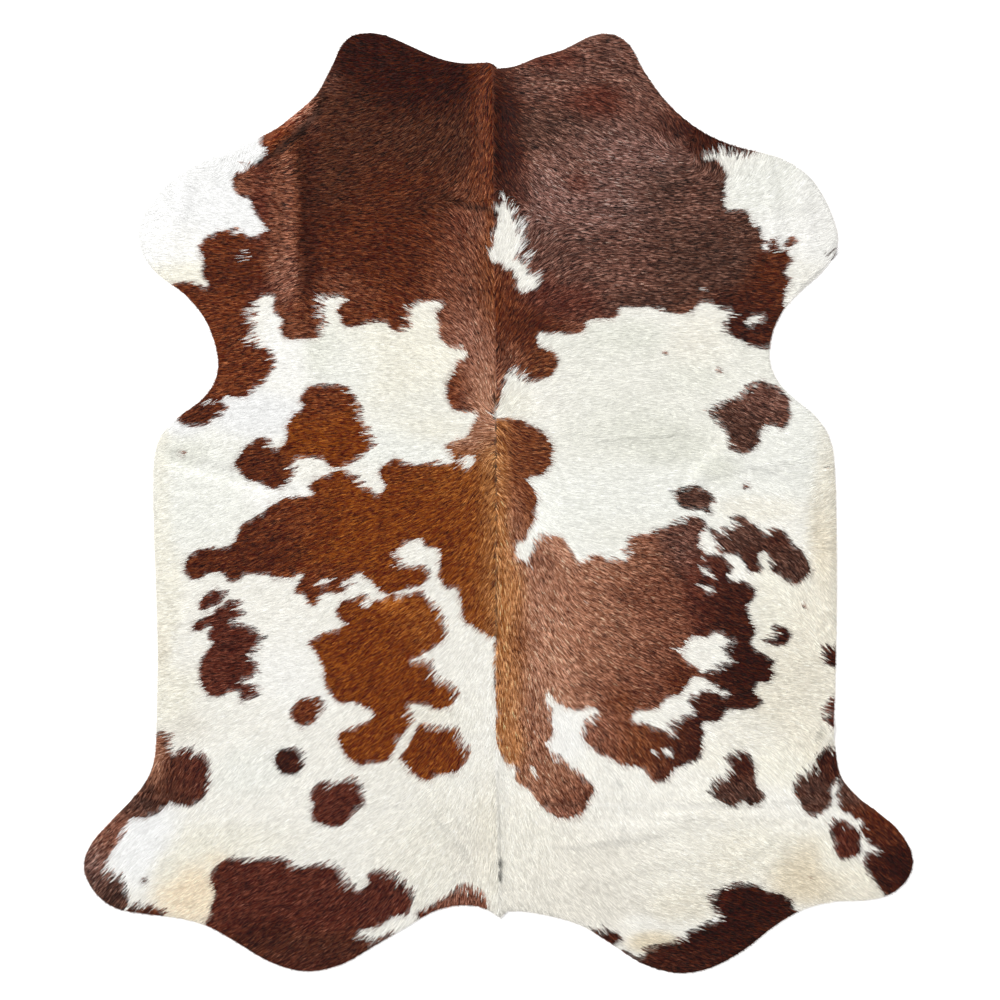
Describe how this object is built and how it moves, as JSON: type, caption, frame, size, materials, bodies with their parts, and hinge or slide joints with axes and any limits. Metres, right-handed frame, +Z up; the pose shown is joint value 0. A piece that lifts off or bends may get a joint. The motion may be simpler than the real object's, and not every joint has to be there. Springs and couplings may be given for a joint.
{
  "type": "cowhide rug",
  "caption": "Whole hair-on cowhide rug lying flat, chestnut and ivory patches, trimmed to neck, foreleg, flank and hind leg lobes, with a soft crease down the backbone.",
  "frame": {"origin": "middle of the outline's box, on the floor under the hide", "axes": "+Y along the backbone towards the neck, +Z up from the floor, +X to the right for someone above with the neck at the top"},
  "size_m": [1.9934, 2.2602, 0.018],
  "materials": {
    "hide": "short glossy hair lying flat on the skin, chestnut and ivory; suede underside"
  },
  "bodies": {
    "root": {"hide": "hide"}
  },
  "joints": []
}
